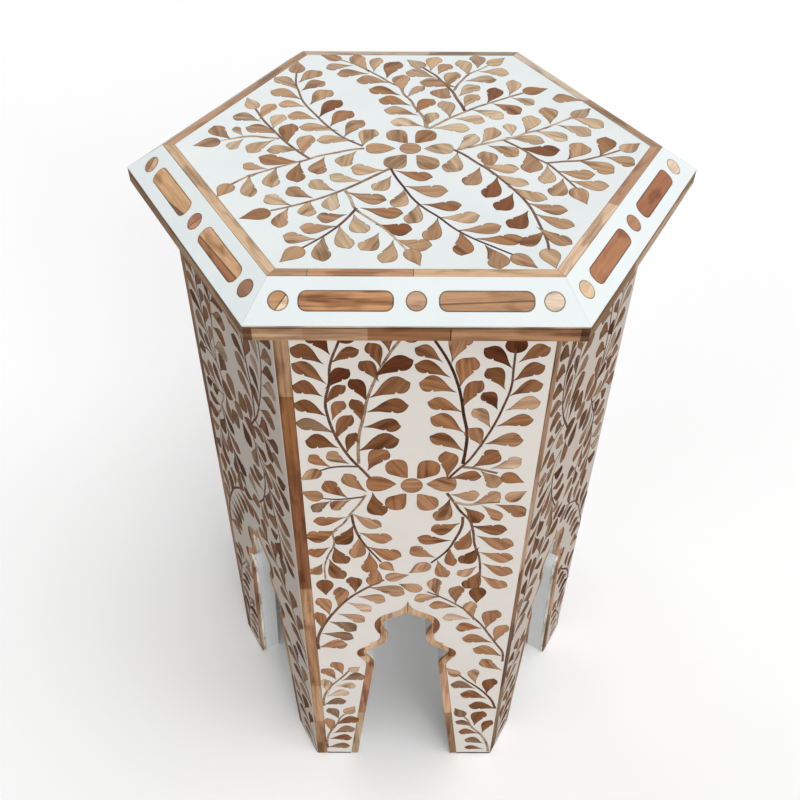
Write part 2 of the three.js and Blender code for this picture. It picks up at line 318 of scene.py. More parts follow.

# %% [markdown]
# The resin is cast as a paste and sanded, so it isn't one flat white. It has very faint
# clouds, tiny specks, and a sheen that changes a little from place to place. The rim panels
# meet in mitres that show as hairlines at the six corners. A hairline is where a point is
# as near to a corner's line as half the line's width. The front slope of the rim is painted a
# little greyer than the rest, as painted shade that holds back the strong light from the front.

# %% Resin of the top
CLOUD_SIZE, CLOUD_DETAIL, CLOUD_RANGE, CLOUD_SHARE = 28 * MM, 4.0, (0.3, 0.7), 0.75
SPECK_SIZE, SPECK_DETAIL, SPECK_RANGE, SPECK_SHARE = 1.3 * MM, 1.0, (0.55, 0.75), 0.25
RESIN_ROUGHNESS, CLOUD_ROUGHNESS, SANDED_RELIEF = 0.32, 0.16, 0.02 * MM
HALF_MITRE = 0.45 * MM
FIELD_RESIN, FIELD_CLOUD = (230, 235, 234), (222, 229, 229)
RIM_RESIN, RIM_CLOUD, MITRE_TONE = (228, 234, 234), (221, 229, 230), (208, 214, 216)
FRONT_RIM_PAINTED_SHADE = 0.85


def resin(sheet, light, cloud):
    """Clouded resin: its colour, its specks as relief, and its roughness."""
    coordinates = sheet.node("ShaderNodeTexCoord", output="Object")
    clouds = coordinates.noise(CLOUD_SIZE, CLOUD_DETAIL)
    specks = coordinates.noise(SPECK_SIZE, SPECK_DETAIL)
    mottle = clouds.spread(*CLOUD_RANGE) * CLOUD_SHARE + specks.spread(*SPECK_RANGE) * SPECK_SHARE
    roughness = RESIN_ROUGHNESS + clouds * CLOUD_ROUGHNESS
    return mottle.between(tone(*light), tone(*cloud)), specks, roughness


field_resin, sheet = new_finish("cast resin of the field")
colour, specks, roughness = resin(sheet, FIELD_RESIN, FIELD_CLOUD)
lay_finish(field_resin, colour, roughness, specks, SANDED_RELIEF)
give(field_resin, "top_field_face")

rim_resin, sheet = new_finish("cast resin of the rim")
colour, specks, roughness = resin(sheet, RIM_RESIN, RIM_CLOUD)
_, across, deep, _ = place_on(sheet, "front")
cosine, sine = math.cos(math.radians(60)), math.sin(math.radians(60))
# The front slope of the rim is dimmed: painted shade against the strong light from the front.
front_slope_painted_shade = abs(across) * sine + deep * cosine < 0.0
colour = colour.dimmed(1.0 - front_slope_painted_shade * (1 - FRONT_RIM_PAINTED_SHADE))
to_corner = abs(deep).least(abs(deep * cosine - across * sine))
to_corner = to_corner.least(abs(deep * cosine + across * sine))
colour = (to_corner < HALF_MITRE).between(colour, tone(*MITRE_TONE))
lay_finish(rim_resin, colour, roughness, specks, SANDED_RELIEF)
give(rim_resin, "top_rim_face")
print("resin of the field and of the rim laid")

# %% [markdown]
# A side board has several surfaces in one piece: warmer resin outside, with a dark line
# where the foot meets the floor, bright paint on the sawn edge of the arch, and the same paint
# greyer inside, as painted shade. Which one shows depends only on how far out and how high a
# point is. Off the front, the resin is a darker, warmer copy of the front's: painted shade.

# %% Side boards
# The resin of the other sides is a darker, warmer copy of the front's: painted shade.
RESIN_FRONT, RESIN_OTHER_PAINTED_SHADE = ((232, 226, 218), (225, 219, 211)), ((230, 219, 207), (223, 211, 199))
PAINT, PAINT_CLOUD, FOOT_LINE = (240, 241, 240), (226, 228, 227), (78, 58, 46)
# The inner paint is the sawn edge's white paint made greyer: painted shade inside the box.
INNER_PAINT_PAINTED_SHADE, SAWN_EDGE = (200, 200, 198), 17.5 * MM
SKIN, FOOT_HEIGHT = 0.6 * MM, 3.0 * MM
FOOT_LINE_WAVE_SIZE, FOOT_LINE_WAVE_RISE = 6 * MM, 1.5 * MM
BRUSH_MARK, BRUSH_STRETCH, PAINT_ROUGHNESS, BOARD_RELIEF = 2.5 * MM, 0.15, 0.3, 0.03 * MM

for side in SIDES:
    board, sheet = new_finish(f"cast resin of the {side} side")
    # Off the front, the darker, warmer resin stands in for shade.
    tones = RESIN_FRONT if side == "front" else RESIN_OTHER_PAINTED_SHADE
    outside, specks, roughness = resin(sheet, *tones)
    place, _, deep, height = place_on(sheet, side)
    brushed = place.times(1, 1, BRUSH_STRETCH).noise(BRUSH_MARK)
    inside = brushed.between(tone(*PAINT), tone(*PAINT_CLOUD))
    # Deeper than the sawn edge, the paint turns greyer, as painted shade.
    inside_painted_shade = deep > SAWN_EDGE - face_distance
    inside = inside_painted_shade.between(inside, tone(*INNER_PAINT_PAINTED_SHADE))
    is_inside = deep > SKIN - face_distance
    # A dark line of uneven height runs along the foot, where it meets the floor.
    dark_foot_line = height + place.noise(FOOT_LINE_WAVE_SIZE) * FOOT_LINE_WAVE_RISE < FOOT_HEIGHT
    colour = is_inside.between(dark_foot_line.between(outside, tone(*FOOT_LINE)), inside)
    roughness = roughness + is_inside * PAINT_ROUGHNESS
    lay_finish(board, colour, roughness, specks + brushed, BOARD_RELIEF)
    give(board, f"side_board_{side}")
print("boards finished:", len(SIDES))

# %% [markdown]
# The strips round the tabletop and up the corners are glued up from short lengths of
# different woods, and that patchwork is much of the stool's look. A ramp with hard steps
# picks the tone by the place along the strip, and its stops are the joints.

# %% Strips round the tabletop
FRAME_TONES = {
    "front": (
        (0.13, (170, 138, 114)), (0.36, (184, 142, 110)), (0.51, (204, 171, 140)),
    ),
    "front_right": ((0.5, (216, 187, 160)), (0.5, (176, 138, 112))),
    "back_right": ((0.46, (158, 133, 110)), (0.54, (197, 184, 167))),
    "back": ((0.41, (150, 133, 117)), (0.59, (180, 164, 149))),
    "back_left": ((0.62, (162, 132, 107)), (0.38, (176, 144, 117))),
    "front_left": ((0.5, (197, 167, 138)), (0.5, (203, 176, 147))),
}
FRAME_FIGURE = 0.55
strip_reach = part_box("frame_strip_front")[1].x
for side, pieces in FRAME_TONES.items():
    strip, sheet = new_finish(f"glued lengths of the {side} frame strip")
    place, across, _, _ = place_on(sheet, side)
    base = glued_lengths(across, -strip_reach, strip_reach, pieces)
    give(lay_wood(strip, base, place, FRAME_FIGURE), f"frame_strip_{side}")
print("frame strips run", round(2 * strip_reach / MM, 1), "mm")

# %% [markdown]
# A corner strip stands upright, so its grain runs along z. The place is handed to the wood
# recipe with its parts swapped, and the joints are counted from the floor. The far strips,
# which the photograph doesn't show, are the near ones turned upside down.

# %% Strips up the corners
CORNER_TONES = {
    "front": (
        (0.115, (165, 131, 102)), (0.118, (182, 147, 118)), (0.18, (163, 123, 93)),
        (0.091, (172, 134, 102)), (0.246, (127, 84, 56)), (0.132, (137, 92, 57)),
        (0.118, (165, 131, 102)),
    ),
    "front_right": (
        (0.22, (148, 124, 104)), (0.18, (112, 86, 68)), (0.14, (146, 112, 86)),
        (0.2, (192, 162, 140)), (0.26, (168, 134, 106)),
    ),
    "front_left": (
        (0.2, (150, 116, 90)), (0.3, (176, 142, 114)), (0.22, (134, 98, 72)),
        (0.28, (160, 124, 96)),
    ),
}
CORNER_TONES["back"] = CORNER_TONES["front_right"][::-1]
CORNER_TONES["back_left"] = CORNER_TONES["front"][::-1]
CORNER_TONES["back_right"] = CORNER_TONES["front_left"][::-1]
CORNER_FIGURE = 0.9
strip_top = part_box("corner_strip_front")[1].z
for side, pieces in CORNER_TONES.items():
    strip, sheet = new_finish(f"glued lengths of the {side} corner strip")
    _, across, deep, height = place_on(sheet, side)
    upright = joined(height, across, deep)
    base = glued_lengths(height, 0.0, strip_top, pieces)
    give(lay_wood(strip, base, upright, CORNER_FIGURE), f"corner_strip_{side}")
print("corner strips are", round(strip_top / MM, 1), "mm tall")

# %% [markdown]
# The border of the arch is sawn from small pieces too: pale on the point and the cusps,
# reddish or tan on the legs, greyer at the feet, and its two halves differ. They meet in an
# upright seam at the point. The height picks the piece. In each round lobe the outer edge is
# darker, beyond a distance from the middle, and the sawn edge behind is painted.

# %% Border of the arch
ARCH_LEFT = (
    (0.31, (184, 160, 134)), (0.34, (176, 130, 102)), (0.06, (204, 172, 142)),
    (0.16, (206, 172, 142)), (0.13, (208, 174, 144)),
)
ARCH_RIGHT = (
    (0.31, (152, 120, 92)), (0.34, (200, 160, 128)), (0.06, (196, 158, 126)),
    (0.16, (196, 160, 128)), (0.13, (204, 166, 134)),
)
LOBES = ((207 * MM, 235 * MM, 20.5 * MM), (172 * MM, 190 * MM, 34 * MM))
LOBE_TONE, WAVE_SIZE, WAVE_DEPTH = (126, 84, 56), 7 * MM, 3.0 * MM
HALF_SEAM = 0.35 * MM
BORDER_FACE, BORDER_FIGURE = 1.6 * MM, 0.7
border_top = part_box("arch_border_front")[1].z
for side in SIDES:
    border, sheet = new_finish(f"sawn border of the {side} arch")
    place, across, deep, height = place_on(sheet, side)
    upright = joined(height, across, deep)
    left, right = (
        glued_lengths(height, 0.0, border_top, pieces) for pieces in (ARCH_LEFT, ARCH_RIGHT)
    )
    base = (across > 0.0).between(left, right)
    wavy = abs(across) + (place.noise(WAVE_SIZE) - 0.5) * WAVE_DEPTH
    for low, high, reach in LOBES:
        # In each lobe, the part beyond a wavy distance from the middle takes the darker tone.
        dark_lobe_edge = (height > low) * (height < high) * (wavy > reach)
        base = dark_lobe_edge.between(base, tone(*LOBE_TONE))
    base = (abs(across) < HALF_SEAM).between(base, tone(*SEAM_TONE))
    base = (deep > BORDER_FACE - face_distance).between(base, tone(*PAINT))
    give(lay_wood(border, base, upright, BORDER_FIGURE), f"arch_border_{side}")
print("arch border reaches", round(border_top / MM, 1), "mm")

# %% [markdown]
# The edge of the top is a band in two heights of wood, the upper one darker, with a dark
# seam near the top and a pale lip of resin over it. It is cut into butted lengths, and the
# long bands show their dark end grain at the corners. All of it is one closed ring in the
# model, so a point first finds its own side: the one toward which it lies furthest out.

# %% Edge band
edge_low, edge_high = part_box("top_edge_band")[0].z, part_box("top_edge_band")[1].z
edge_out = -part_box("top_edge_band")[0].y
edge_reach = edge_out * math.tan(math.radians(30))
END_GRAIN, END_TONE = 4.8 * MM, (104, 76, 58)
UPPER_FROM, UPPER_SHADE = 0.62, 0.22
DARK_SEAM, DARK_SEAM_TONE = (0.84, 0.92), (92, 66, 50)
LIP_FROM, LIP_TONE = 0.95, (206, 190, 172)
BAND_FIGURE = 0.8
EDGE_TONES = {
    "front": (
        (0.17, (182, 149, 121)), (0.19, (170, 136, 108)), (0.236, (138, 97, 68)),
        (0.004, (70, 48, 36)), (0.4, (166, 126, 94)),
    ),
    "front_right": ((0.38, (156, 124, 98)), (0.62, (194, 168, 144))),
    "back_right": ((0.35, (176, 140, 112)), (0.65, (150, 112, 82))),
    "back": ((0.5, (170, 134, 106)), (0.5, (142, 104, 76))),
    "back_left": ((0.6, (158, 122, 94)), (0.4, (176, 140, 112))),
    "front_left": ((0.45, (164, 132, 106)), (0.55, (178, 150, 124))),
}
band, sheet = new_finish("butted lengths of the edge band")
best, along, colour = None, None, None
for side, pieces in EDGE_TONES.items():
    _, across, deep, height = place_on(sheet, side)
    base = glued_lengths(across, -edge_reach, edge_reach, pieces)
    if list(SIDES).index(side) % 2 == 0:
        base = (abs(across) > edge_reach - END_GRAIN).between(base, tone(*END_TONE))
    out = 0.0 - deep
    if best is None:
        best, along, colour = out, across, base
    else:
        nearer = out > best
        along = along + nearer * (across - along)
        colour = nearer.between(colour, base)
        best = best.most(out)
rise = height.spread(edge_low, edge_high)
colour = colour.dimmed(1.0 - (rise > UPPER_FROM) * UPPER_SHADE)
in_seam = (rise > DARK_SEAM[0]) * (rise < DARK_SEAM[1])
colour = in_seam.between(colour, tone(*DARK_SEAM_TONE))
colour = (rise > LIP_FROM).between(colour, tone(*LIP_TONE))
give(lay_wood(band, colour, joined(along, height, best), BAND_FIGURE), "top_edge_band")
print("edge band from", round(edge_low, 4), "to", round(edge_high, 4))

# %% [markdown]
# Each side of the rim has five inlays: a dot, a bar, a dot, a bar and a dot. They are single
# slips of wood, but several were cut across a glued board and so carry a second, darker
# tone beyond a straight seam. A seam is given by its direction in degrees, its distance from
# the middle of the inlay in millimetres, and the tone beyond it. Most slips are plain, and a
# few have bold figure. The glue line round a slip is darker: it is all that lies further out
# than the slip's rounded outline, shrunk by the line's width. The rim slopes, so a length
# down it is 1.24 times as long as it looks from above.

# %% Rim inlays
RIM_NAMES = ("rim_dot_left", "rim_bar_left", "rim_dot_middle", "rim_bar_right", "rim_dot_right")
RIM_TONES = {
    "front": ((172, 136, 104), (164, 122, 88), (178, 146, 120), (168, 132, 102), (208, 190, 172)),
    "front_right": ((218, 192, 162), (164, 116, 86), (172, 128, 102), (152, 102, 74), (222, 202, 180)),
    "back_right": ((206, 186, 164), (172, 136, 108), (184, 146, 116), (204, 180, 154), (190, 152, 122)),
    "back": ((186, 150, 120), (204, 176, 148), (166, 126, 98), (182, 146, 116), (214, 190, 164)),
    "back_left": ((180, 142, 112), (196, 160, 128), (206, 178, 150), (176, 132, 104), (196, 164, 136)),
    "front_left": ((206, 174, 142), (200, 162, 122), (162, 118, 90), (208, 168, 130), (150, 112, 88)),
}
RIM_SEAMS = {
    ("front", 0): (40, 1.5, (220, 196, 168)),
    ("front", 3): (88, 0.6, (160, 124, 94)),
    ("front_left", 0): (150, 0.4, (166, 122, 92)),
    ("front_left", 1): (83, 5.2, (132, 92, 66)),
    ("front_left", 2): (20, 0.8, (184, 138, 108)),
    ("front_left", 3): (88, 1.4, (158, 108, 76)),
    ("back_right", 1): (91, 2.0, (130, 96, 72)),
    ("back", 3): (60, 4.0, (140, 104, 78)),
    ("back_left", 2): (130, 0.5, (150, 112, 86)),
}
RIM_FIGURES = {("front", 1): 1.6, ("back", 1): 1.2, ("back_left", 3): 1.4}
PLAIN_FIGURE, FAR_OFF = 0.35, 50
DOT_RADIUS, BAR_CORNER = 5.5 * MM, (4.5 * MM, 5.65 * MM)
RIM_STRETCH = 1.24
SLIP_EDGE, SLIP_EDGE_SHADE = 0.5 * MM, 0.4
rim_middle = (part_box("top_rim_face")[0].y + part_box("frame_strip_front")[0].y) / 2
for side, tones in RIM_TONES.items():
    for index, (name, colour) in enumerate(zip(RIM_NAMES, tones)):
        slip, sheet = new_finish(f"{name} of the {side} side")
        place, across, deep, _ = place_on(sheet, side)
        shifted = place.moved(chance.random(), chance.random(), 0)
        low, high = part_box(f"{name}_front")
        along = across - (low.x + high.x) / 2
        down = deep - rim_middle
        angle, offset, second = RIM_SEAMS.get((side, index), (0, FAR_OFF, colour))
        lean = math.radians(angle)
        past = along * math.cos(lean) - down * math.sin(lean)
        base = (past > offset * MM).between(tone(*colour), tone(*second))
        if (side, index) in RIM_SEAMS:
            line = abs(past - offset * MM) < HALF_SEAM
            base = line.between(base, tone(*SEAM_TONE))
        radius, half_height = (DOT_RADIUS, DOT_RADIUS) if "dot" in name else BAR_CORNER
        beyond_x = (abs(along) - ((high.x - low.x) / 2 - radius)).most(0.0)
        beyond_y = (abs(down) * RIM_STRETCH - (half_height - radius)).most(0.0)
        outer = beyond_x * beyond_x + beyond_y * beyond_y > (radius - SLIP_EDGE) ** 2
        base = base.dimmed(1.0 - outer * SLIP_EDGE_SHADE)
        figure = RIM_FIGURES.get((side, index), PLAIN_FIGURE)
        give(lay_wood(slip, base, shifted, figure), f"{name}_{side}")
print("rim inlays finished:", len(RIM_TONES) * len(RIM_NAMES))

# %% [markdown]
# Out of sight, under the top, are the bare underside of the board and the battens that join
# it to the sides. Plain pale softwood, a little dusty, is enough there.

# %% Underside
BARE_LIGHT, BARE_DARK = (196, 168, 132), (182, 150, 114)
DUST_SIZE, SAWN_RELIEF = 90 * MM, 0.1 * MM
plain, sheet = new_finish("plain board and battens")
place, *_ = place_on(sheet, "front")
base = place.noise(DUST_SIZE).between(tone(*BARE_LIGHT), tone(*BARE_DARK))
give(lay_wood(plain, base, place, depth=SAWN_RELIEF), "top_board", "top_batten_frame")
print("plain wood on the underside")

# %% [markdown]
# The pattern is made of thin wooden shapes. A leaf has a pointed tail, a full round head and
# a small nick under the head, where the saw turned. It could be cut from a grid, but a flat
# Bezier curve is closer to how the sheet of wood is sawn: a few points along the outline,
# smooth everywhere but at the tail, the tip and the nick. Two petals of a flower are drops,
# and the four that slant are fans with a blunt foot. An outline is written with a length and a width
# of 1, and drawn out to the piece's common size.

# %% Outlines of the inlay shapes
LEAF_OUTLINE = (
    (0, -0.03), (0.114, 0.025), (0.267, 0.172), (0.429, 0.364), (0.590, 0.500),
    (0.707, 0.541), (0.807, 0.505), (0.899, 0.343), (0.952, 0.105), (1.000, -0.078),
    (0.944, -0.246), (0.857, -0.397), (0.765, -0.459), (0.677, -0.433), (0.617, -0.356),
    (0.603, -0.245), (0.549, -0.331), (0.457, -0.261), (0.317, -0.145), (0.165, -0.075),
)
BUD_HALF = (
    (0, 0), (0.02, 0.18), (0.09, 0.35), (0.2, 0.46), (0.33, 0.5),
    (0.48, 0.45), (0.63, 0.33), (0.8, 0.16), (1, 0),
)
PETAL_HALF = (
    (0, 0), (0.09, 0.11), (0.22, 0.26), (0.37, 0.39), (0.53, 0.475),
    (0.69, 0.5), (0.83, 0.465), (0.93, 0.36), (0.985, 0.19), (1, 0),
)
FAN_OUTLINE = (
    (-0.02, -0.072), (0.304, -0.264), (0.608, -0.403), (0.806, -0.376),
    (0.948, -0.157), (1.000, 0.138), (0.914, 0.397), (0.769, 0.526),
    (0.468, 0.595), (0.258, 0.378), (0.037, 0.099),
)
DISC_POINTS = 12
LEAF_CORNERS = (0, 9, 14, 15, 16)


def mirrored(half):
    """A closed outline from one of its halves."""
    return half + tuple((along, -out) for along, out in half[-2:0:-1])


steps = [math.tau * step / DISC_POINTS for step in range(DISC_POINTS)]
disc_outline = [(0.5 + math.cos(step) / 2, math.sin(step) / 2) for step in steps]
SHAPES = {
    "leaf": (LEAF_OUTLINE, LEAF_CORNERS, 23 * MM, 11.5 * MM),
    "bud": (mirrored(BUD_HALF), (len(BUD_HALF) - 1,), 18 * MM, 11.5 * MM),
    "petal": (mirrored(PETAL_HALF), (0,), 19.5 * MM, 14 * MM),
    "fan petal": (FAN_OUTLINE, (0, 10), 20 * MM, 15 * MM),
    "disc": (disc_outline, (), 14 * MM, 14 * MM),
}
print("shapes:", {name: len(shape[0]) for name, shape in SHAPES.items()}, "points")

# %% [markdown]
# Each shape is modelled once. The filled curve becomes a mesh, its flat faces are dissolved
# into one, and that face is inset by the width of the saw line. The outer ring then carries
# the value 1 and the middle 0, so that the finish can darken the edge as glue and saw dust
# do on the real pieces.

# %% Modelling the shapes
PLATE_BELOW, PLATE_ABOVE = 0.1 * MM, 0.15 * MM
SAW_LINE = 0.5 * MM
FLAT, SAME_POINT, UPWARD, OUTLINE_STEPS = 0.02, 0.01 * MM, 0.9, 2


def as_mesh(shape):
    """Turns a curve object into a mesh object that alone is selected."""
    bpy.ops.object.select_all(action="DESELECT")
    bpy.context.view_layer.objects.active = shape
    shape.select_set(True)
    bpy.ops.object.convert(target="MESH")
    return bpy.context.object


def drawn(name, points, length, width, is_closed, corners=()):
    """A flat Bezier curve through points, drawn out to a length and a width."""
    curve = bpy.data.curves.new(name, "CURVE")
    curve.dimensions = "2D" if is_closed else "3D"
    spline = curve.splines.new("BEZIER")
    spline.bezier_points.add(len(points) - 1)
    spline.use_cyclic_u = is_closed
    for number, (point, (x, y)) in enumerate(zip(spline.bezier_points, points)):
        point.co = (x * length, y * width, 0)
        point.handle_left_type = "VECTOR" if number in corners else "AUTO"
        point.handle_right_type = point.handle_left_type
    line = bpy.data.objects.new(name, curve)
    bpy.context.collection.objects.link(line)
    return line


def modelled(name, outline, corners, length, width):
    shape = drawn(name, outline, length, width, True, corners)
    shape.data.fill_mode = "BOTH"
    shape.data.extrude = (PLATE_ABOVE + PLATE_BELOW) / 2
    shape.data.resolution_u = OUTLINE_STEPS
    shape = as_mesh(shape)
    shape.data.transform(Matrix.Translation((0, 0, (PLATE_ABOVE - PLATE_BELOW) / 2)))
    bpy.ops.object.mode_set(mode="EDIT")
    bpy.ops.mesh.select_all(action="SELECT")
    bpy.ops.mesh.remove_doubles(threshold=SAME_POINT)
    bpy.ops.mesh.dissolve_limited(angle_limit=FLAT)
    bpy.ops.mesh.normals_make_consistent(inside=False)
    bpy.ops.mesh.select_all(action="DESELECT")
    bpy.ops.object.mode_set(mode="OBJECT")
    for face in shape.data.polygons:
        face.select = face.normal.z > UPWARD
    bpy.ops.object.mode_set(mode="EDIT")
    bpy.ops.mesh.inset(thickness=SAW_LINE, use_even_offset=False)
    bpy.ops.object.mode_set(mode="OBJECT")
    middle = {number for face in shape.data.polygons if face.select for number in face.vertices}
    edge = shape.data.attributes.new("edge", "FLOAT", "POINT")
    values = [float(number not in middle) for number in range(len(shape.data.vertices))]
    edge.data.foreach_set("value", values)
    shape.data.transform(Matrix.Diagonal((1 / length, 1 / width, 1, 1)))
    return shape


masters = {name: modelled(name, *shape) for name, shape in SHAPES.items()}
for shape in masters.values():
    print(shape.name, "has", len(shape.data.polygons), "faces")

# %% [markdown]
# Where everything lies was fitted to the straightened photograph, to the nearest millimetre
# but for the flowers. One row is one piece: x, y, its turn in degrees, its length, its width,
# and the number of its wood from dark to light. A minus before the width turns the leaf over,
# and a flower's rows begin with the shape. A stem is its wood, its width, and the points that
# it runs through from its foot to its tip.

# %% The pattern, in millimetres from the middle of the top, or the foot of the panel
TOP_LEAVES = (
    (-18, 94, 73, 29, 14, 1), (-81, 0, 89, 28, 13, 1), (66, -3, 353, 28, -14, 0),
    (118, -14, 71, 27, -13, 1), (73, -6, 270, 27, 14, 2), (-63, 36, 62, 29, 13, 0),
    (-6, -49, 346, 27, -14, 3), (-70, 54, 59, 26, 14, 3), (29, -8, 254, 26, 13, 6),
    (97, -18, 59, 25, -15, 3), (42, 98, 101, 27, -12, 6), (103, -17, 325, 26, 14, 3),
    (-55, 24, 58, 26, 14, 1), (33, 81, 161, 28, -14, 2), (-6, 73, 91, 27, 13, 3), (105, 39, 328, 26, 13, 6),
    (-7, 69, 157, 24, -13, 1), (-80, 87, 52, 24, 13, 2), (39, -109, 289, 24, 13, 2),
    (52, -37, 251, 26, 12, 0), (-69, -22, 169, 29, 13, 1), (-33, -2, 73, 24, 13, 5),
    (74, 16, 74, 25, -13, 6), (96, 28, 327, 25, 13, 6), (-75, 62, 149, 26, -13, 3),
    (0, 54, 157, 24, -14, 1), (-30, 102, 181, 23, -13, 2), (92, 28, 91, 24, -13, 3),
    (52, 57, 71, 25, -12, 0), (55, 58, 322, 24, 13, 1), (-32, -73, 346, 26, -12, 1),
    (60, 11, 348, 26, 12, 6), (88, -31, 349, 24, -12, 3), (26, 36, 99, 25, -12, 4),
    (24, -96, 9, 26, -11, 2), (-12, -31, 340, 25, -11, 1), (14, -82, 254, 25, 11, 2),
    (67, -75, 236, 22, 13, 0), (94, -42, 344, 25, -12, 5), (-41, -56, 339, 26, -12, 2),
    (-15, 88, 169, 24, -14, 2), (-89, 7, 224, 23, -12, 5), (-86, 14, 158, 25, -12, 3),
    (69, -92, 316, 25, -11, 2), (18, 96, 156, 23, -14, 4), (68, 68, 77, 25, -11, 6),
    (80, 20, 330, 24, 12, 7), (-23, -90, 344, 22, -13, 0), (119, 62, 171, 22, -13, 2),
    (40, 49, 331, 25, 12, 7), (33, -104, 0, 28, -11, 1), (5, 40, 160, 25, -12, 5),
    (60, -56, 239, 22, 12, 0), (48, 1, 326, 23, 13, 3), (-77, 75, 44, 21, 13, 2), (14, -83, 4, 24, -12, 5),
    (-18, -31, 174, 21, 13, 5), (69, -78, 328, 26, -11, 3), (-36, -7, 243, 21, -12, 5),
    (56, -49, 327, 27, -11, 5), (49, 106, 353, 22, 13, 6), (47, -32, 92, 25, -13, 3),
    (-36, -79, 289, 21, -12, 6), (47, -34, 330, 26, -10, 6), (44, 2, 63, 24, -12, 5),
    (25, 80, 74, 26, 12, 5), (-117, 6, 129, 23, 12, 2), (49, 110, 90, 22, -12, 4),
    (41, -24, 348, 25, -11, 5), (4, -69, 357, 24, -11, 1), (-70, -14, 85, 27, 12, 3),
    (92, -39, 247, 22, 12, 3), (27, 82, 244, 19, -16, 2), (-101, -36, 277, 26, -10, 5),
    (121, -13, 333, 20, 13, 3), (-78, 76, 132, 27, -12, 4), (-71, -20, 268, 25, -12, 1),
    (-5, -51, 254, 22, 11, 5), (-63, 34, 163, 21, -12, 3), (-100, 31, 158, 21, -12, 4),
    (66, -67, 339, 25, -11, 2), (-12, -105, 343, 22, -12, 3), (-30, 103, 111, 32, 12, 3),
    (13, 23, 358, 25, 12, 7), (26, -95, 270, 25, 12, 1), (-48, 19, 169, 27, -11, 5), (2, 43, 59, 24, 12, 1),
    (-52, -100, 271, 26, -11, 5), (-37, 6, 178, 25, -11, 5), (28, 36, 351, 21, 12, 6),
    (-20, -98, 242, 20, 12, 5), (84, -23, 260, 23, 11, 6), (-44, -90, 285, 25, -11, 6),
    (3, -67, 255, 23, 11, 5), (14, 106, 77, 24, 12, 5), (-45, 10, 64, 26, 12, 3),
    (-56, -14, 260, 22, -12, 2), (75, -95, 223, 22, 10, 1), (35, 51, 62, 22, 11, 5),
    (-13, -37, 238, 20, 11, 5), (38, 91, 7, 23, 12, 6), (42, -26, 246, 24, 12, 2),
    (-72, -71, 148, 20, 11, 6), (-60, -63, 145, 20, 11, 2), (-31, -44, 162, 22, 10, 7),
    (-55, -105, 172, 20, 11, 5), (-72, 52, 168, 19, -11, 5), (27, -8, 57, 27, -11, 7),
    (-85, -27, 266, 24, -11, 5), (8, 25, 162, 23, -12, 7), (19, 101, 60, 19, 11, 2),
    (-47, -55, 144, 20, 11, 6), (-39, -80, 192, 18, 11, 2), (-62, -64, 269, 18, -11, 5),
    (32, 67, 49, 23, 12, 7), (-46, -54, 260, 22, -11, 7), (-44, -92, 186, 22, 11, 3),
    (-12, -105, 256, 23, 11, 5), (-70, -6, 181, 23, -11, 5), (-74, -72, 258, 22, -10, 3),
    (-27, 104, 82, 24, 10, 5), (-102, 33, 71, 24, 10, 3), (-42, 115, 193, 20, -11, 4),
    (-92, 20, 77, 21, 11, 6), (7, 22, 68, 24, 10, 6), (69, 66, 328, 18, 10, 7), (-90, -30, 162, 17, 9, 3),
    (65, 12, 95, 17, -9, 7), (-4, 65, 54, 22, 8, 4), (-109, 8, 239, 16, -9, 7), (-110, 11, 119, 14, 6, 4),
    (-95, -35, 205, 8, 3, 3),
)
TOP_BUDS = (
    (-84, -77, 203, 19, 12, 1), (97, -50, 285, 19, 12, 3), (73, -113, 279, 19, 12, 5),
    (78, 74, 17, 19, 12, 1), (-82, 102, 91, 19, 12, 2), (-63, -113, 230, 18, 12, 3),
    (108, 38, 43, 19, 11, 4), (53, -119, 317, 18, 11, 3), (57, 116, 44, 18, 11, 5),
    (10, 112, 135, 18, 11, 4), (133, -6, 36, 17, 11, 5), (-4, -114, 292, 17, 10, 3),
    (-106, 48, 114, 18, 10, 6), (-111, -47, 247, 16, 11, 3), (-51, 124, 153, 17, 10, 2),
    (-124, 5, 202, 18, 12, 2),
)
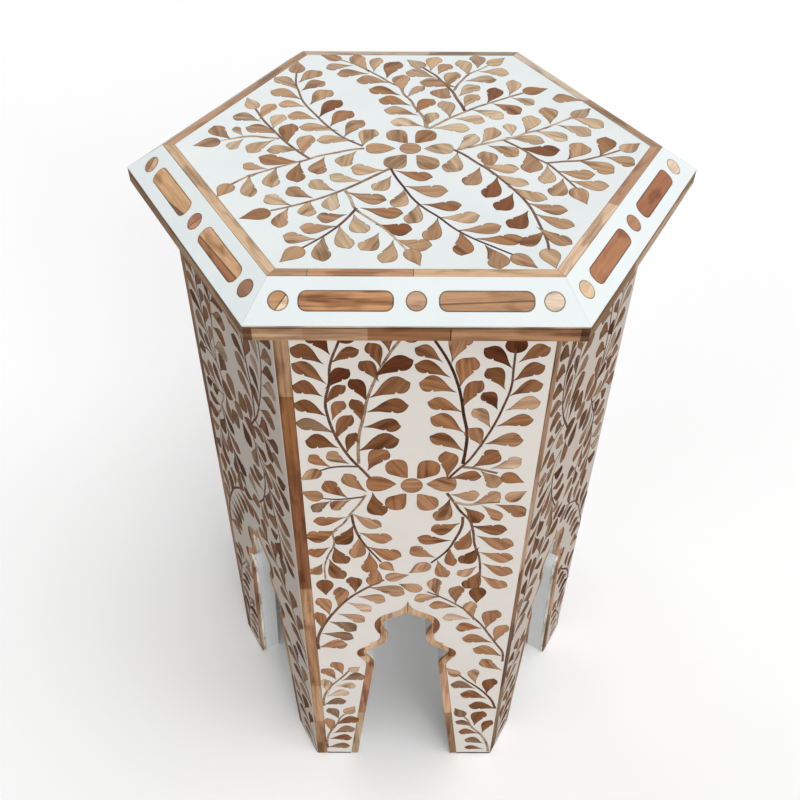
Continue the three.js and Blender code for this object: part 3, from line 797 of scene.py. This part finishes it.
TOP_STEMS = (
    (3, 1.9, ((-32, -1), (-44, 9), (-52, 19), (-59, 30), (-65, 41), (-70, 50), (-75, 61), (-78, 73),
        (-81, 85), (-82, 103))),
    (5, 2.2, ((10, 22), (9, 32), (6, 42), (2, 52), (0, 60), (-5, 70), (-8, 81), (-15, 88), (-21, 96),
        (-28, 104), (-34, 111), (-42, 118), (-51, 124))),
    (6, 2.4, ((11, 22), (18, 29), (26, 37), (36, 45), (43, 51), (52, 57), (60, 62), (68, 67), (78, 73))),
    (2, 2.5, ((36, 46), (34, 55), (31, 65), (29, 74), (26, 81), (22, 90), (18, 99), (13, 106), (9, 112))),
    (6, 2.0, ((30, 76), (33, 85), (37, 93), (42, 102), (49, 108), (57, 116))),
    (7, 2.5, ((29, -5), (36, -2), (43, 1), (52, 5), (60, 8), (68, 12), (75, 17), (84, 21), (94, 28),
        (102, 34), (108, 38))),
    (3, 2.1, ((59, 7), (66, 0), (72, -7), (78, -16), (84, -22), (89, -31), (94, -41), (98, -50))),
    (4, 2.2, ((84, -21), (95, -19), (105, -18), (115, -14), (125, -9), (132, -5))),
    (2, 2.2, ((26, -5), (33, -12), (39, -20), (47, -30), (54, -41), (59, -50), (64, -60), (68, -71),
        (70, -80), (72, -92), (74, -105), (74, -115))),
    (0, 1.8, ((-14, -28), (-11, -38), (-6, -50), (-1, -62), (6, -73), (14, -82), (22, -93), (31, -102),
        (43, -111), (54, -119))),
    (4, 2.4, ((-14, -28), (-24, -37), (-35, -47), (-41, -52), (-52, -60), (-62, -66), (-72, -71),
        (-84, -76))),
    (7, 2.1, ((-42, -52), (-38, -62), (-35, -73), (-27, -83), (-18, -93), (-11, -104), (-5, -115))),
    (1, 1.9, ((-34, -73), (-40, -85), (-48, -97), (-56, -106), (-63, -113))),
    (6, 2.3, ((-31, -4), (-40, -6), (-50, -10), (-60, -14), (-66, -18), (-78, -24), (-90, -31),
        (-101, -38), (-111, -48))),
    (3, 2.1, ((-65, -17), (-72, -9), (-79, 0), (-85, 9), (-91, 19), (-98, 31), (-103, 42), (-107, 51))),
    (7, 2.6, ((-86, 8), (-94, 9), (-103, 11), (-110, 10), (-118, 7), (-124, 5))),
)
SIDE_LEAVES = (
    (61, 213, 77, 28, 15, 5), (46, 332, 336, 30, -14, 5), (-27, 466, 29, 28, 15, 2),
    (-30, 319, 333, 27, -14, 3), (81, 86, 165, 26, -14, 1), (62, 54, 78, 28, 14, 1),
    (79, 173, 153, 28, -14, 5), (27, 373, 253, 26, 13, 5), (-58, 305, 290, 27, -13, 2),
    (69, 111, 82, 27, 13, 1), (-49, 338, 204, 25, 14, 3), (53, 292, 248, 26, 14, 3),
    (41, 343, 349, 27, -12, 2), (27, 475, 75, 25, 14, 3), (-35, 419, 24, 29, 15, 1),
    (-61, 224, 330, 25, 13, 4), (26, 471, 159, 24, -14, 3), (71, 104, 159, 25, -14, 3),
    (-72, 186, 13, 25, 14, 5), (52, 300, 331, 27, -12, 5), (-68, 207, 345, 27, 12, 4),
    (51, 225, 99, 27, 11, 6), (-28, 314, 267, 26, 12, 3), (39, 403, 44, 23, -14, 2),
    (-30, 270, 344, 29, 14, 6), (52, 285, 324, 26, -11, 5), (-54, 320, 291, 23, -13, 2),
    (60, 121, 159, 23, -13, 4), (-36, 335, 341, 25, -12, 5), (49, 313, 342, 27, -12, 5),
    (43, 340, 252, 26, 12, 3), (-25, 483, 31, 28, 13, 0), (57, 367, 332, 25, 12, 5),
    (45, 426, 10, 25, 13, 5), (33, 436, 146, 26, -13, 3), (-29, 454, 14, 27, 13, 1),
    (50, 319, 238, 23, 13, 1), (34, 419, 147, 27, -12, 3), (30, 326, 174, 25, 11, 3),
    (69, 193, 74, 28, 12, 5), (-34, 334, 261, 29, 12, 5), (-40, 356, 323, 25, -11, 6),
    (69, 194, 164, 26, -13, 5), (-38, 344, 242, 26, 13, 1), (35, 346, 205, 22, 13, 3),
    (-53, 240, 84, 30, -12, 5), (-46, 422, 161, 22, -14, 1), (59, 215, 178, 21, -13, 3),
    (-63, 56, 29, 25, 13, 2), (51, 442, 16, 24, 11, 3), (23, 256, 100, 26, 11, 6), (-31, 441, 3, 24, 12, 1),
    (-59, 231, 107, 26, -12, 5), (70, 40, 75, 26, 10, 1), (-65, 40, 27, 22, 13, 4),
    (-66, 210, 96, 27, -10, 3), (-25, 301, 268, 30, 12, 5), (36, 364, 306, 21, 12, 2),
    (-54, 235, 333, 24, 11, 6), (-69, 29, 7, 21, 12, 2), (45, 401, 307, 21, 12, 6),
    (-52, 493, 145, 23, -12, 1), (-42, 372, 132, 23, 12, 3), (-66, 40, 95, 28, -10, 5),
    (-54, 134, 23, 21, 13, 4), (74, 20, 152, 20, -12, 4), (-52, 450, 149, 23, -11, 1),
    (-39, 262, 96, 21, -12, 2), (31, 454, 157, 24, -11, 3), (-38, 258, 345, 22, 12, 6),
    (29, 457, 66, 26, 11, 2), (36, 248, 88, 24, 12, 5), (-51, 477, 139, 26, -11, 2),
    (42, 367, 30, 21, -12, 6), (19, 306, 147, 22, 12, 5), (55, 473, 123, 21, -12, 1),
    (-52, 143, 111, 22, -11, 5), (59, 128, 97, 25, 10, 6), (-47, 435, 157, 27, -11, 4),
    (-58, 135, 121, 21, -11, 5), (58, 490, 137, 24, -11, 0), (-54, 467, 150, 20, -12, 1),
    (-68, 107, 21, 21, 11, 7), (-72, 92, 22, 22, 12, 4), (28, 320, 278, 24, -9, 3),
    (45, 423, 120, 20, -12, 5), (-58, 66, 113, 22, -11, 4), (80, 150, 138, 26, 12, 5),
    (51, 402, 25, 22, -11, 7), (68, 40, 168, 19, -11, 2), (-56, 318, 208, 18, 11, 3),
    (20, 304, 288, 23, -11, 5), (-30, 443, 106, 23, -9, 1), (26, 376, 359, 20, -11, 6),
    (21, 494, 72, 26, 14, 5), (-66, 110, 95, 26, -10, 7), (22, 483, 153, 24, -11, 1),
    (-27, 462, 117, 22, -10, 0), (-46, 250, 327, 22, 10, 7), (-19, 490, 109, 21, -10, 1),
    (56, 456, 21, 22, 12, 6), (-43, 352, 193, 24, 10, 3), (-29, 378, 130, 24, 11, 5),
    (57, 468, 29, 22, 11, 2), (-40, 371, 215, 17, -10, 5), (48, 366, 311, 22, 9, 5),
    (25, 258, 191, 21, -11, 6), (52, 456, 123, 18, -10, 1), (24, 393, 7, 22, 10, 2),
    (58, 480, 37, 22, 11, 2), (-72, 12, 10, 22, 11, 4), (38, 244, 173, 22, -11, 5),
    (50, 296, 219, 18, 10, 6), (49, 440, 124, 21, -10, 6), (-49, 428, 65, 26, 10, 2),
    (-20, 479, 123, 20, -10, 1), (17, 495, 145, 20, -10, 2), (-60, 125, 358, 18, 10, 7),
    (-62, 299, 237, 16, 10, 5), (60, 495, 35, 21, 11, 2), (62, 53, 148, 19, -9, 4),
    (49, 228, 175, 22, -10, 7), (-53, 473, 49, 22, 11, 0), (-49, 494, 33, 20, 9, 1),
    (-50, 446, 67, 19, 9, 3), (-42, 416, 72, 21, 8, 1), (-54, 460, 52, 21, 8, 1), (75, 9, 168, 19, -8, 2),
    (-53, 370, 220, 18, -9, 4), (-40, 406, 141, 18, 10, 6), (-52, 403, 141, 18, 9, 3),
    (-48, 500, 125, 22, -12, 0), (-14, 502, 104, 20, -10, 1), (-29, 400, 59, 24, 14, 3),
    (24, 392, 93, 27, -13, 3), (-26, 379, 283, 26, -14, 1),
)
SIDE_BUDS = (
    (-62, 279, 271, 20, 13, 1), (15, 299, 218, 19, 12, 6), (52, 71, 118, 18, 11, 4),
    (-17, 281, 14, 18, 11, 6), (10, 266, 155, 19, 11, 6), (59, 396, 335, 17, 11, 3),
    (-59, 400, 215, 17, 10, 6), (-59, 372, 154, 16, 11, 5), (44, 141, 128, 17, 10, 6),
    (-52, 76, 59, 16, 11, 6), (64, 371, 35, 16, 11, 6), (-20, 300, 314, 14, 10, 5),
    (58, 502, 89, 18, 13, 0), (-47, 148, 42, 12, 9, 7), (52, 270, 270, 21, 13, 1),
    (-41, 509, 74, 16, 12, 0), (-4, 510, 66, 15, 10, 2), (9, 512, 106, 13, 10, 0),
)
SIDE_STEMS = (
    (1, 2.2, ((-27, 393), (-32, 401), (-38, 410), (-44, 422), (-49, 436), (-52, 450), (-53, 462),
        (-50, 478), (-49, 492), (-43, 511))),
    (5, 2.2, ((-34, 407), (-34, 420), (-33, 435), (-30, 450), (-28, 463), (-22, 483), (-15, 500),
        (-8, 512), (-4, 517))),
    (1, 1.8, ((-35, 404), (-45, 404), (-52, 403), (-59, 400))),
    (1, 1.9, ((24, 392), (30, 401), (36, 409), (41, 419), (46, 431), (51, 445), (55, 460), (58, 475),
        (58, 490), (58, 505))),
    (0, 2.3, ((33, 407), (34, 420), (34, 436), (31, 452), (29, 465), (26, 478), (20, 495), (10, 514))),
    (4, 2.5, ((33, 404), (40, 403), (47, 401), (56, 398))),
    (6, 1.8, ((-30, 376), (-34, 367), (-40, 357), (-46, 345), (-53, 336), (-53, 322), (-58, 308),
        (-61, 295), (-61, 280))),
    (1, 2.1, ((-40, 355), (-38, 340), (-34, 327), (-28, 315), (-20, 301))),
    (2, 1.7, ((-31, 374), (-40, 372), (-50, 371), (-59, 372))),
    (2, 2.2, ((24, 378), (29, 369), (34, 359), (41, 349), (44, 337), (46, 322), (50, 308), (52, 290),
        (52, 270))),
    (1, 2.2, ((36, 353), (36, 343), (32, 328), (27, 315), (16, 300))),
    (6, 2.6, ((29, 369), (38, 366), (50, 368), (60, 369))),
    (2, 2.7, ((-71, 183), (-71, 196), (-68, 210), (-63, 223), (-56, 237), (-46, 253), (-36, 264),
        (-27, 272), (-18, 279))),
    (3, 2.1, ((79, 165), (78, 178), (72, 191), (65, 205), (58, 219), (50, 231), (44, 240), (38, 246),
        (30, 253), (22, 259), (14, 264))),
    (5, 2.3, ((-71, 90), (-70, 105), (-64, 123), (-54, 138), (-47, 150))),
    (5, 2.2, ((-71, 10), (-71, 24), (-68, 40), (-61, 56), (-56, 71), (-50, 78))),
    (1, 2.4, ((79, 87), (75, 100), (68, 113), (60, 124), (52, 133), (45, 142))),
    (6, 2.5, ((79, 4), (77, 17), (70, 37), (60, 53), (56, 65), (52, 72))),
)
TOP_FLOWER = (
    ("disc", -8.5, -3.8, 0, 13.8, 13.8, 3), ("petal", -11.0, -4.0, 180, 19.0, 13.0, 3),
    ("petal", 7.0, -4.0, 0, 19.0, 13.0, 6), ("fan petal", -4.2, 3.0, 115, 18.9, 14.2, 3),
    ("fan petal", 2.8, 3.0, 65, 18.9, -14.4, 1), ("fan petal", -5.2, -11.6, 245, 18.9, -15.2, 5),
    ("fan petal", 3.2, -12.3, 295, 19.0, 14.8, 3),
)
SIDE_FLOWER = (
    ("disc", -6.8, 385.5, 0, 14.6, 14.6, 5), ("petal", -9.5, 387.0, 180, 20.0, 15.0, 3),
    ("petal", 10.0, 387.0, 0, 20.0, 15.0, 5), ("fan petal", -3.4, 393.2, 115, 19.6, 15.0, 3),
    ("fan petal", 5.0, 392.4, 65, 19.6, -15.4, 3), ("fan petal", -4.0, 377.2, 245, 18.8, -14.8, 3),
    ("fan petal", 5.5, 376.8, 295, 18.8, 15.4, 5),
)
print("pieces on the top:", len(TOP_LEAVES) + len(TOP_BUDS) + len(TOP_FLOWER))
print("pieces on a side:", len(SIDE_LEAVES) + len(SIDE_BUDS) + len(SIDE_FLOWER))

# %% [markdown]
# A copy of a shape is drawn out to its size, turned and moved in its own mesh, so that its
# object stays at the origin. Before the turn, its points are kept as a UV map in metres:
# that is the piece's own place on the sheet of wood that it was sawn from, so the grain
# follows the leaf, whichever way it lies. A second attribute carries the wood's number, with
# a little chance added, because no two leaves come from the same board.

# %% Laying one piece
WOODS = 8
GRAIN_LEAN, SHEET_SIZE, WOOD_CHANCE = 35, 3, (0.05, 0.95)
LEAST_LIFT = 0.75


def laid(kind, x, y, angle, length, width, wood):
    piece = masters[kind].copy()
    piece.data = masters[kind].data.copy()
    bpy.context.collection.objects.link(piece)
    mesh = piece.data
    lift = chance.uniform(LEAST_LIFT, 1)
    mesh.transform(Matrix.Diagonal((length * MM, width * MM, lift, 1)))
    if width < 0:
        mesh.flip_normals()
    lean = Matrix.Rotation(math.radians(chance.uniform(-GRAIN_LEAN, GRAIN_LEAN)), 2)
    shift_x, shift_y = chance.uniform(0, SHEET_SIZE), chance.uniform(0, SHEET_SIZE)
    grain = mesh.uv_layers.new(name="grain")
    for loop in mesh.loops:
        point = lean @ mesh.vertices[loop.vertex_index].co.xy
        grain.data[loop.index].uv = (point.x + shift_x, point.y + shift_y)
    mark(mesh, "wood", (wood + chance.uniform(*WOOD_CHANCE)) / WOODS)
    turn = Matrix.Rotation(math.radians(angle), 4, "Z")
    mesh.transform(Matrix.Translation((x * MM, y * MM, 0)) @ turn)
    return piece


def mark(mesh, name, value):
    """Gives every point of a mesh the same value of an attribute."""
    attribute = mesh.attributes.new(name, "FLOAT", "POINT")
    attribute.data.foreach_set("value", [value] * len(mesh.vertices))


print("the grain of a leaf leans by up to", GRAIN_LEAN, "degrees")

# %% [markdown]
# A stem is a wooden line one or two millimetres wide that thins toward its tip. A curve with
# a round section gives both, through the points of the pattern, and pressing the mesh flat
# turns the round section into a slight, sanded swell. It stands a hair above the leaves'
# tails, which run up against it.

# %% Laying one stem
STEM_TIP_SHARE, STEM_SWELL = 0.75, 0.2 * MM
STEM_STEPS, STEM_ROUNDING = 4, 1


def stem(wood, width, points):
    piece = drawn("stem", points, MM, MM, False)
    piece.data.bevel_depth = width * MM / 2
    piece.data.bevel_resolution = STEM_ROUNDING
    piece.data.resolution_u = STEM_STEPS
    piece.data.use_fill_caps = True
    for number, point in enumerate(piece.data.splines[0].bezier_points):
        point.radius = 1 - (1 - STEM_TIP_SHARE) * number / (len(points) - 1)
    piece = as_mesh(piece)
    piece.data.transform(Matrix.Diagonal((1, 1, 2 * STEM_SWELL / (width * MM), 1)))
    mark(piece.data, "wood", (wood + 0.5) / WOODS)
    return piece


print("the tip of a stem has", STEM_TIP_SHARE, "of the width of its foot")

# %% [markdown]
# The leaves' finish reads the two things that each piece carries. The wood's number picks a
# tone from a ramp with hard steps, and what is left over of the number makes the piece a
# touch lighter or darker. The top's woods are paler than the front's, and the other sides
# have the front's woods in a deeper tone, as painted shade. The saw line round a leaf is dark
# over its outer half and fades over the inner one.

# %% Finishes of the inlay
TOP_WOODS = (
    (119, 74, 42), (153, 112, 77), (165, 131, 102), (176, 143, 112),
    (170, 146, 122), (187, 159, 129), (191, 167, 139), (200, 180, 154),
)
SIDE_WOODS = (
    (96, 52, 26), (123, 81, 51), (138, 95, 65), (156, 110, 76),
    (138, 110, 87), (168, 126, 94), (184, 148, 119), (203, 176, 151),
)
STEM_WOODS = (
    (70, 40, 30), (104, 72, 55), (116, 86, 67), (126, 96, 76),
    (142, 114, 92), (156, 132, 110), (168, 144, 122), (184, 166, 146),
)
EDGE_SHADE, DARK_PART = 0.55, 0.5
PIECE_DARK, PIECE_SPAN = 0.92, 0.16
OTHER_SIDES_PAINTED_SHADE = 0.87
TOP_FIGURE, SIDE_FIGURE, STEM_FIGURE = 0.65, 0.8, 1.0


def inlay_finish(name, woods, figure, is_leaf=True):
    material, sheet = new_finish(name)
    number = sheet.node("ShaderNodeAttribute", {"attribute_name": "wood"}, {}, "Fac")
    stops = [(index / WOODS, tone(*wood)) for index, wood in enumerate(woods)]
    base = number.stepped(stops)
    if not is_leaf:
        return lay_wood(material, base, sheet.node("ShaderNodeTexCoord", output="Object"), figure)
    edge = sheet.node("ShaderNodeAttribute", {"attribute_name": "edge"}, {}, "Fac")
    rest = (number * WOODS).math("FRACT", number * WOODS)
    sawn = edge.spread(0.0, DARK_PART) * EDGE_SHADE
    base = base.dimmed((PIECE_DARK + rest * PIECE_SPAN) * (1 - sawn))
    return lay_wood(material, base, sheet.node("ShaderNodeUVMap", {"uv_map": "grain"}), figure)


top_inlay = inlay_finish("leaves of the top", TOP_WOODS, TOP_FIGURE)
front_inlay = inlay_finish("leaves of the front", SIDE_WOODS, SIDE_FIGURE)
# The other sides' woods are the front's, darkened as painted shade.
OTHER_WOODS_PAINTED_SHADE = [[part * OTHER_SIDES_PAINTED_SHADE for part in wood] for wood in SIDE_WOODS]
other_inlay_painted_shade = inlay_finish("leaves of the other sides in painted shade", OTHER_WOODS_PAINTED_SHADE, SIDE_FIGURE)
stem_inlay = inlay_finish("stems", STEM_WOODS, STEM_FIGURE, False)
print("woods in each set:", len(TOP_WOODS), len(SIDE_WOODS), len(STEM_WOODS))

# %% [markdown]
# Now the pieces of a panel are laid, joined, and set on its face. For a side, the flat
# pattern is first stood up, moved out to the front face, and turned round to its own side.
# The sides share one pattern, but the woods are dealt out afresh on each but the front.

# %% Laying the panels
def join(pieces, name, material):
    bpy.ops.object.select_all(action="DESELECT")
    for piece in pieces:
        piece.select_set(True)
    bpy.context.view_layer.objects.active = pieces[0]
    bpy.ops.object.join()
    whole = bpy.context.object
    whole.name = name
    whole.data.name = name
    whole.data.materials.clear()
    whole.data.materials.append(material)
    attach(whole, "root")
    return whole


def lay_panel(label, leaves, buds, flower, stems, place, leaf_finish, deal):
    rows = [("leaf", *row) for row in leaves] + [("bud", *row) for row in buds]
    rows += list(flower)
    woods = [row[-1] for row in rows]
    if deal:
        chance.shuffle(woods)
    shapes = [laid(*row[:-1], wood) for row, wood in zip(rows, woods)]
    whole = join(shapes, f"inlay_leaves_{label}", leaf_finish)
    whole.data.transform(place)
    lines = [stem(*row) for row in stems]
    whole = join(lines, f"inlay_stems_{label}", stem_inlay)
    whole.data.transform(place)
    print(label, "has", len(shapes), "leaves, buds and petals and", len(lines), "stems")


lay_panel(
    "top", TOP_LEAVES, TOP_BUDS, TOP_FLOWER, TOP_STEMS,
    Matrix.Translation((0, 0, table_height)), top_inlay, False,
)
for side, turn in SIDES.items():
    stood_up = Matrix.Rotation(math.radians(90), 4, "X")
    moved_out = Matrix.Translation((0, -face_distance, 0))
    turned = Matrix.Rotation(math.radians(turn), 4, "Z")
    lay_panel(
        side, SIDE_LEAVES, SIDE_BUDS, SIDE_FLOWER, SIDE_STEMS,
        turned @ moved_out @ stood_up, front_inlay if side == "front" else other_inlay_painted_shade,
        side != "front",
    )
for shape in masters.values():
    bpy.data.objects.remove(shape)

# %% [markdown]
# The photograph is a cut-out on white with a soft shadow. The floor is a big sheet that
# catches the real shadow. The camera sees it white, so the lit part fades into the
# surround. For the light it is a plain grey, so it throws no more light up at the stool
# than a studio floor does.

# %% Floor
FLOOR_SIZE = 60
FLOOR_SEEN, FLOOR_LIT = (255, 255, 255), (112, 112, 112)
SOFT_SIZE, SOFT_SHADE, SOFT_ROUGHNESS = 0.9, 0.01, 0.05
FLOOR_ROUGHNESS, FLOOR_RELIEF = 0.9, 0.1 * MM

bpy.ops.object.select_all(action="DESELECT")
bpy.ops.mesh.primitive_plane_add(size=FLOOR_SIZE, location=(0, 0, 0))
floor = bpy.context.object
floor.name = "floor"
floor_finish, sheet = new_finish("pale floor")
soft = sheet.node("ShaderNodeTexCoord", output="Object").noise(SOFT_SIZE)
seen = sheet.node("ShaderNodeLightPath", output="Is Camera Ray")
colour = seen.between(tone(*FLOOR_LIT), tone(*FLOOR_SEEN))
colour = colour.dimmed(1 - SOFT_SHADE + soft * SOFT_SHADE)
roughness = FLOOR_ROUGHNESS + soft * SOFT_ROUGHNESS
lay_finish(floor_finish, colour, roughness, soft, FLOOR_RELIEF, 0.0)
floor.data.materials.append(floor_finish)
print("floor is", FLOOR_SIZE, "m wide")

# %% [markdown]
# The light is plain studio light: a faint even surround and five soft screens. The strongest
# stands low in front and lights the panels. The next hangs overhead, to the right, so that
# the soft shadow falls to the left. The weak ones fill in from the other sides. A sun with a
# wide angle does the work of a screen: it lights the stool evenly from top to foot. The
# surround is pure white where it is looked at or mirrored.

# %% Light
SURROUND = 0.136
SCREEN_WIDTH = math.radians(50)
SCREENS = {
    "front screen": (2.28, 15, 15),
    "overhead screen": (1.38, 90, 70),
    "left fill": (0.6, -50, 15),
    "right fill": (0.46, 50, 45),
    "back fill": (0.52, -135, 45),
}

world = bpy.data.worlds.new("surround")
bpy.context.scene.world = world
world.use_nodes = True
sheet = Signal(world.node_tree)
seen = sheet.node("ShaderNodeLightPath", output="Is Camera Ray")
paths = seen.socket.node.outputs
for name in ("Is Glossy Ray", "Is Transmission Ray"):
    seen = seen.most(Signal(sheet.tree, paths[name]))
strength = SURROUND + seen * (1 - SURROUND)
background = world.node_tree.nodes["Background"]
background.inputs["Color"].default_value = (1, 1, 1, 1)
world.node_tree.links.new(strength.socket, background.inputs["Strength"])

for name, (strength, round_to, height) in SCREENS.items():
    bpy.ops.object.light_add(type="SUN")
    screen = bpy.context.object
    screen.name = name
    screen.data.energy = strength
    screen.data.angle = SCREEN_WIDTH
    screen.rotation_euler = (math.radians(90 - height), 0, math.radians(round_to))
    print(name, "of strength", strength)

# %% [markdown] The dressed stool keeps the size of the fixed model, because its size
# belongs to that model.
